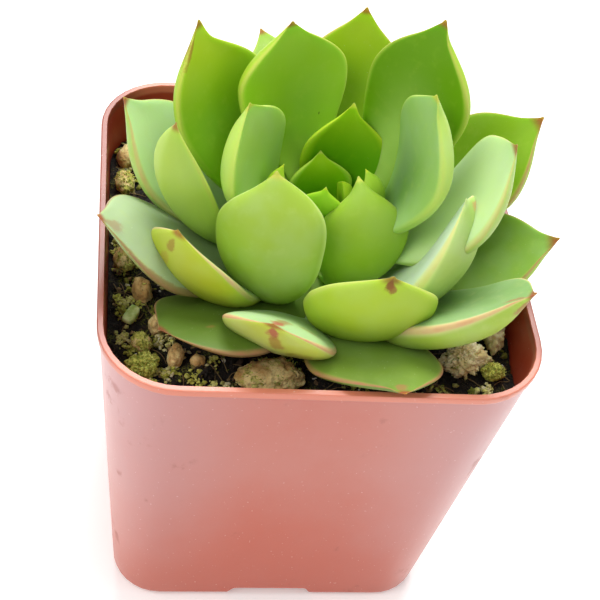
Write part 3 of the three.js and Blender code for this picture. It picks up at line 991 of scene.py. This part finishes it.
# how each kind of leaf is coloured: upper face, its hollow, back, margin, worn margin and tip; the
# hollow colour is painted shade on most leaves, and the margin colour also paints a highlight along
# the margins
leafLooks = {
    "heart": {
        "face": (96, 152, 6), "deep": (52, 110, 0), "back": (146, 196, 34),
        "ridge": (176, 212, 60), "edge": (186, 206, 80), "tip": (168, 188, 70),
        "bloom": 0.0, "worn": 0.1, "specks": 0.05,
    },
    "inner": {
        "face": (130, 184, 50), "deep": (112, 166, 26), "back": (160, 200, 50),
        "ridge": (196, 218, 96), "edge": (206, 206, 110), "tip": (190, 190, 80),
        "bloom": 0.25, "worn": 0.15, "specks": 0.1,
    },
    "middle": {
        "face": (128, 178, 14), "deep": (110, 160, 14), "back": (162, 196, 40),
        "ridge": (190, 214, 80), "edge": (206, 176, 110), "tip": (150, 84, 50),
        "bloom": 0.15, "worn": 0.3, "specks": 0.1,
    },
    "outer": {
        "face": (136, 182, 30), "deep": (122, 166, 30), "back": (160, 190, 56),
        "ridge": (190, 204, 96), "edge": (190, 130, 96), "tip": (150, 64, 48),
        "bloom": 0.15, "worn": 0.5, "specks": 0.25,
    },
}
# Beside each leaf's own tone, the face, back and hollow colours here hold painted light and shade,
# set leaf by leaf to the light that leaf gets: paler on leaves that lie in shade
leafOverrides = {
    "heart_leaf_front": {"back": (166, 214, 50), "tip": (206, 222, 60)},
    "heart_leaf_right": {"back": (186, 222, 50), "face": (170, 214, 40), "tip": (206, 222, 60)},
    "heart_leaf_back_right": {
        "back": (166, 206, 60), "face": (130, 180, 20), "tip": (206, 222, 60),
    },
    "heart_leaf_left": {"back": (180, 214, 50), "face": (160, 206, 40), "tip": (206, 222, 60)},
    "inner_leaf_back": {
        "face": (116, 184, 0), "deep": (80, 144, 0), "bloom": 0,
        "ridge": (176, 214, 76), "rim": 0.9, "rimFrom": 0.72,
        "glow": (166, 206, 20), "tip": (196, 214, 90),
    },
    "inner_leaf_back_right": {
        "face": (98, 166, 0), "deep": (80, 146, 0), "bloom": 0,
        "ridge": (180, 214, 30), "rim": 0.9, "rimFrom": 0.7,
        "glow": (160, 204, 10), "tip": (206, 220, 80),
    },
    "inner_leaf_front": {
        "back": (150, 186, 30), "bloom": 0.14, "glow": (190, 214, 60), "tip": (206, 216, 90),
    },
    "inner_leaf_front_left": {
        "back": (160, 190, 40), "bloom": 0.3, "ridge": (206, 224, 140), "rim": 0.7,
    },
    "inner_leaf_right": {
        "face": (146, 192, 88), "deep": (60, 112, 0), "back": (178, 210, 84), "bloom": 0.28,
    },
    "inner_leaf_left": {"face": (174, 216, 84), "deep": (154, 202, 60), "back": (190, 218, 84)},
    "middle_leaf_back": {"face": (150, 200, 24), "deep": (128, 180, 6), "bloom": 0.06},
    "middle_leaf_back_right": {"face": (106, 158, 0), "deep": (168, 208, 96), "bloom": 0.02},
    "middle_leaf_back_left": {
        "face": (130, 182, 0), "deep": (112, 166, 0), "glow": (180, 204, 20), "bloom": 0.05,
    },
    "middle_leaf_left": {"back": (172, 200, 76), "face": (150, 192, 84)},
    "middle_leaf_right": {
        "face": (200, 228, 156), "deep": (184, 216, 124), "back": (184, 206, 84), "bloom": 0.5,
        "edge": (226, 150, 130),
    },
    "middle_leaf_front_right": {
        "face": (222, 240, 218), "deep": (214, 234, 206), "back": (182, 206, 96), "bloom": 0.4,
        "tip": (196, 216, 150), "ridge": (228, 236, 150), "rim": 0.9,
    },
    "middle_leaf_front": {
        "back": (174, 200, 34), "face": (178, 206, 120), "edge": (214, 196, 120),
        "tip": (130, 76, 44),
    },
    "middle_leaf_left_low": {
        "back": (182, 194, 26), "face": (176, 204, 128), "edge": (222, 176, 150), "worn": 0.8,
    },
    "middle_leaf_front_left": {
        "back": (186, 192, 50), "face": (164, 196, 130), "deep": (150, 186, 116), "bloom": 0.3,
        "edge": (206, 140, 110), "worn": 0.9, "ridge": (214, 206, 140), "rim": 0.8,
    },
    "outer_leaf_back": {
        "face": (138, 180, 0), "deep": (124, 166, 0), "glow": (172, 200, 20), "bloom": 0.05,
    },
    "outer_leaf_back_low": {"face": (156, 190, 60), "deep": (140, 176, 50)},
    "outer_leaf_back_left": {"face": (184, 216, 144), "deep": (176, 210, 132), "bloom": 0.5},
    "outer_leaf_right": {
        "face": (130, 172, 46), "deep": (108, 148, 34), "bloom": 0.25, "tipFrom": 0.94, "worn": 0.8,
    },
    "outer_leaf_back_right": {
        "face": (126, 170, 6), "deep": (118, 162, 4), "glow": (138, 180, 10), "tipFrom": 0.95,
        "worn": 0.7, "bloom": 0.05,
    },
    "outer_leaf_left": {
        "face": (162, 182, 136), "deep": (142, 168, 108), "back": (126, 140, 66), "bloom": 0.3,
        "edge": (150, 112, 88), "worn": 1.0, "specks": 0.5,
    },
    "outer_leaf_front_right": {
        "face": (130, 168, 96), "deep": (92, 138, 40), "back": (168, 194, 56), "bloom": 0.25,
        "edge": (214, 160, 120), "worn": 0.8, "ridge": (230, 220, 160), "rim": 0.8,
    },
    "outer_leaf_front_left": {
        "face": (90, 118, 32), "deep": (68, 96, 20), "back": (140, 106, 64), "bloom": 0.03,
        "ridge": (130, 140, 84), "edge": (166, 120, 84), "worn": 1.0, "specks": 0.4,
        "tip": (130, 70, 50),
    },
    "outer_leaf_front": {
        "face": (114, 144, 44), "deep": (98, 130, 36), "back": (96, 120, 40), "bloom": 0.1,
        "ridge": (156, 176, 84), "edge": (190, 120, 96), "worn": 0.9, "specks": 0.5,
    },
}
# scars and stains on single leaves: place along and across, reach along and across, colour,
# strength, and the side that shows it; across is 1 at the left margin, seen from the stem
leafMarks = {
    "middle_leaf_back_left": [
        (0.93, 0.9, 0.06, 0.12, (150, 70, 40), 0.6, "both"),
    ],
    "middle_leaf_back": [
        (0.45, -0.5, 0.012, 0.02, (60, 84, 10), 0.7, "both"),
    ],
    "middle_leaf_front": [
        (0.985, -0.1, 0.03, 0.35, (134, 78, 40), 0.9, "both"),
        (0.965, 0.12, 0.02, 0.24, (146, 92, 50), 0.8, "both"),
    ],
    "middle_leaf_left_low": [
        (0.93, -0.2, 0.035, 0.2, (150, 88, 50), 0.55, "both"),
        (0.85, -0.3, 0.04, 0.15, (176, 136, 60), 0.4, "both"),
    ],
    "middle_leaf_front_left": [
        (0.95, 0.05, 0.05, 0.28, (176, 92, 76), 0.9, "both"),
        (0.88, 0.1, 0.07, 0.18, (156, 96, 50), 0.6, "both"),
        (0.6, -1.0, 0.16, 0.06, (122, 54, 44), 0.95, "both"),
        (0.78, 0.5, 0.05, 0.25, (140, 130, 40), 0.5, "both"),
    ],
    "middle_leaf_front_right": [
        (0.93, 0.55, 0.04, 0.3, (222, 160, 120), 0.7, "back"),
        (0.86, 0.6, 0.06, 0.3, (196, 176, 60), 0.6, "back"),
    ],
    "outer_leaf_left": [
        (0.6, 0.98, 0.4, 0.08, (150, 116, 70), 0.6, "both"),
        (0.95, 0.4, 0.05, 0.4, (160, 110, 90), 0.5, "both"),
    ],
    "outer_leaf_front_left": [
        (0.82, 0.3, 0.025, 0.05, (140, 120, 60), 0.7, "both"),
        (0.6, 0.5, 0.05, 0.1, (46, 70, 20), 0.7, "both"),
    ],
    "outer_leaf_front": [
        (0.96, 0.0, 0.025, 0.6, (170, 110, 80), 0.6, "both"),
        (0.55, 0.6, 0.04, 0.08, (150, 160, 90), 0.6, "both"),
    ],
    "outer_leaf_front_right": [
        (0.95, -0.4, 0.05, 0.4, (170, 104, 76), 0.7, "both"),
    ],
}


def stationAt(share, column):
    # a smooth curve through the stations' values
    rows = leafStations
    last = len(rows) - 2
    i = next((k for k in range(last + 1) if share < rows[k + 1][0]), last)
    here, there = rows[i], rows[i + 1]
    before, after = rows[max(0, i - 1)], rows[min(len(rows) - 1, i + 2)]
    step = there[0] - here[0]
    t = min(1, max(0, (share - here[0]) / step))
    riseHere = (there[column] - before[column]) / max(0.01, there[0] - before[0]) * step
    riseThere = (after[column] - here[column]) / max(0.01, after[0] - here[0]) * step
    if i >= len(rows) - 4:
        return mixBetween(here[column], there[column], t)
    return (
        (2 * t ** 3 - 3 * t ** 2 + 1) * here[column] + (t ** 3 - 2 * t ** 2 + t) * riseHere
        + (3 * t ** 2 - 2 * t ** 3) * there[column] + (t ** 3 - t ** 2) * riseThere
    )


class LeafPath:
    # the leaf's middle line, and the directions across and out of its face
    steps = 80

    def __init__(self, leaf):
        self.leaf = leaf
        turn = math.radians(leaf["turn"])
        stemX, stemY = mix["stem"]
        spot = Vector((
            stemX + leaf["start"] * math.cos(turn),
            stemY + leaf["start"] * math.sin(turn),
            leaf["height"],
        ))
        self.points = [spot.copy()]
        for step in range(self.steps):
            spot += self.forward((step + 0.5) / self.steps) * leaf["length"] / self.steps
            self.points.append(spot.copy())

    def forward(self, share):
        leaf = self.leaf
        share = min(1, max(0, share))
        tilt = math.radians(leaf["tilt"] + (leaf["tipTilt"] - leaf["tilt"]) * share ** leaf["curl"])
        heading = math.radians(leaf["turn"] + leaf["sweep"] * share)
        return Vector((
            math.cos(tilt) * math.cos(heading), math.cos(tilt) * math.sin(heading), math.sin(tilt)
        ))

    def at(self, share):
        leaf = self.leaf
        place = min(1, max(0, share)) * self.steps
        i = min(self.steps - 1, int(place))
        centre = self.points[i].lerp(self.points[i + 1], place - i)
        forward = self.forward(share)
        if share > 1:
            centre = centre + forward * leaf["length"] * (share - 1)
        heading = math.radians(leaf["turn"] + leaf["sweep"] * min(1, max(0, share)))
        side = Vector((-math.sin(heading), math.cos(heading), 0))
        roll = math.radians(leaf["roll"]) * min(1, 1.5 * max(0, share))
        side = Matrix.Rotation(roll, 3, forward) @ side
        return centre, side, forward.cross(side)


def leafPlace(path, share, angle, seed):
    # a point of the leaf's skin; angle 0 and pi are its margins, and its face lies between them
    leaf = path.leaf
    across = math.cos(angle)
    pointed, blunt = stationAt(share, 1), stationAt(share, 2)
    lean = 0 if abs(across) < 0.01 else math.copysign(leaf["skew"], across)
    width = mixBetween(pointed, blunt, leaf["blunt"] + lean) * leaf["width"]
    thickness = leaf["thickness"] * stationAt(share, 3)
    dish = leaf["dish"] * mixBetween(pointed, blunt, leaf["blunt"])
    lift = dish * 0.5 + thickness * 0.3
    swell = math.sin(angle)
    centre, side, face = path.at(share)
    calm = 1 - smooth(0.9, 1, share)
    if swell >= 0:
        rise = -dish * (1 - across ** 2)
        rise += 0.17 * thickness * calm * (1 - min(1, abs(across)) ** 6) ** 0.5
    else:
        keel = 0.10 * thickness * math.exp(-((across / 0.22) ** 2)) * smooth(0.35, 0.85, share)
        rise = -(dish + thickness) * abs(swell) ** 0.92 - keel
    wave = noise.noise(Vector((share * 4.2, across * 1.6 + swell, seed * 5.1)))
    ripple = noise.noise(Vector((share * 9, math.copysign(2, across), seed * 3.7)))
    rise += 0.22 * wave * calm
    across *= 1 + 0.035 * ripple * calm
    return centre + side * (across * width / 2) + face * (rise + lift)


def leafMaterial(name, marks):
    look = dict(leafLooks[name.split("_")[0]])
    look.update(leafOverrides.get(name, {}))
    shader = Shader(name.replace("_", "") + "Skin")
    along = shader.attribute("along")
    across = abs(shader.attribute("across"))
    upper = shader.attribute("side").rise(0.4, 0.6)
    coords = shader.coords()
    broad = shader.noise(coords, 7, 2)
    middle = shader.noise(coords, 1.8, 3)
    fine = shader.noise(coords, 0.35, 3, 0.6)
    skin = shader.blend(upper, tint(*look["back"]), tint(*look["face"]))
    # Painted shade: the hollow of the upper face near the base takes the deep colour, darker than
    # the face on most leaves
    hollow = (1 - across.rise(0.1, 0.9)) * (1 - along.rise(0.45, 0.85)) * upper
    skin = shader.blend(hollow * (0.5 + broad * 0.8), skin, tint(*look["deep"]))
    # Painted light: the outer part of the upper face towards the tip takes a brighter colour,
    # standing in for the light it catches
    glow = along.rise(0.62, 1.0) * upper * 0.8
    skin = shader.blend(glow, skin, tint(*look.get("glow", look["face"])))
    skin = shader.blend((1 - along.rise(0.05, 0.45)) * 0.5, skin, tint(*leafSkin["base"]))
    bloom = (broad.rise(0.3, 0.75) * 0.7 + 0.3) * look["bloom"]
    skin = shader.blend(bloom, skin, tint(*leafSkin["bloom"]))
    skin = shader.blend(middle.rise(0.5, 0.8) * 0.12, skin, tint(*look["ridge"]))
    # Painted highlight: a pale band along both margins, on the face and on the back, in the ridge
    # colour
    swell = abs(shader.attribute("side") * 2 - 1)
    edge = upper * across.rise(look.get("rimFrom", leafSkin["rimFrom"]), 1.0)
    edge = edge + (1 - upper) * (1 - swell.rise(0.02, 0.3))
    rim = edge * along.rise(0.3, 0.6) * look.get("rim", leafSkin["rim"])
    skin = shader.blend(rim, skin, tint(*look["ridge"]))
    worn = edge.rise(0.45, 1.0) * along.rise(0.35, 0.8) * (0.3 + middle)
    skin = shader.blend(worn * look["worn"], skin, tint(*look["edge"]))
    specks = fine.rise(0.68, 0.76) * look["specks"]
    skin = shader.blend(specks, skin, tint(*leafSkin["specks"]))
    for markAlong, markAcross, reachAlong, reachAcross, colour, strength, shown in marks:
        alongAway = (along - markAlong) / reachAlong
        acrossAway = (shader.attribute("across") - markAcross) / reachAcross
        away = (alongAway * alongAway + acrossAway * acrossAway) ** 0.5
        away = away + (middle - 0.5) * 1.4 + (fine - 0.5) * 0.6
        cover = (1 - away.rise(0.5, 1.1)) * strength
        if shown == "back":
            cover = cover * (1 - upper)
        skin = shader.blend(cover, skin, tint(*colour))
    tipStart = look.get("tipFrom", leafSkin["tipFrom"])
    skin = shader.blend(along.rise(tipStart, 1.0) * 0.9, skin, tint(*look["tip"]))
    shader.put("Base Color", skin)
    shader.put("Roughness", 0.42 + broad * 0.12 + middle * 0.1)
    shader.put("Specular IOR Level", leafSkin["specular"])
    shader.put("Subsurface Radius", (0.7, 1.0, 0.25))
    shader.glowInside(0.35, 2.2)
    shader.bump(middle * 0.6 + fine * 0.25, 0.12, 0.35)
    return shader.material


def makeLeaf(name, leaf, seed):
    bm = bmesh.new()
    rings = len(leafRings)
    bmesh.ops.create_uvsphere(bm, u_segments=leafAround, v_segments=rings - 1, radius=1)
    layers = {key: bm.verts.layers.float.new(key) for key in ("along", "across", "side")}
    path = LeafPath(leaf)
    for vert in bm.verts:
        ring = round(math.acos(min(1, max(-1, -vert.co.z))) / math.pi * (rings - 1))
        angle = math.atan2(vert.co.y, vert.co.x)
        share = leafRings[ring]
        if ring in (0, rings - 1):
            centre, side, face = path.at(share)
            vert.co = centre
            vert[layers["across"]] = 0
            vert[layers["side"]] = 0.5
        else:
            vert.co = leafPlace(path, share, angle, seed)
            vert[layers["across"]] = math.cos(angle)
            vert[layers["side"]] = 0.5 + 0.5 * math.sin(angle)
        vert[layers["along"]] = share
    crease = bm.edges.layers.float.new("crease_edge")
    for edge in bm.edges:
        if all(abs(vert[layers["across"]]) > 0.999 for vert in edge.verts):
            edge[crease] = 0.12
    bmesh.ops.recalc_face_normals(bm, faces=bm.faces)
    material = leafMaterial(name, leafMarks.get(name, []))
    addPiece(pieceName(name), bm, material, [name], levels=2)


def makeLeaves():
    for seed, (name, row) in enumerate(leafRows.items(), start=1):
        makeLeaf(name, dict(zip(leafFields, row)), seed)
    print("leaves:", len(leafRows))


stem = {
    "profile": [(0, 49), (2, 49.6), (3, 53), (2.9, 64), (2.6, 68), (1.6, 70.5), (0, 71)],
    "dark": (124, 150, 62), "light": (176, 196, 104),
}


def makeStem():
    shader = Shader("stemSkin")
    fine = shader.noise(shader.coords(), 0.8, 3)
    dark, light = tint(*stem["dark"]), tint(*stem["light"])
    shader.put("Base Color", shader.blend(fine.rise(0.3, 0.7), dark, light))
    shader.put("Roughness", 0.5 + 0.2 * fine)
    shader.glowInside(0.3, 1.5)
    shader.bump(fine, 0.2, 0.5)
    bm = bmesh.new()
    corners = [bm.verts.new((radius, 0, height)) for radius, height in stem["profile"]]
    edges = [bm.edges.new(pair) for pair in zip(corners, corners[1:])]
    bmesh.ops.spin(
        bm, geom=corners + edges, cent=(0, 0, 0), axis=(0, 0, 1), angle=math.tau, steps=24,
        use_merge=True,
    )
    bmesh.ops.remove_doubles(bm, verts=bm.verts, dist=0.001)
    bmesh.ops.recalc_face_normals(bm, faces=bm.faces)
    bmesh.ops.translate(bm, vec=(*mix["stem"], 0), verts=bm.verts)
    addPiece("stem", bm, shader.material, ["stem"], levels=1)


makeStem()
makeLeaves()
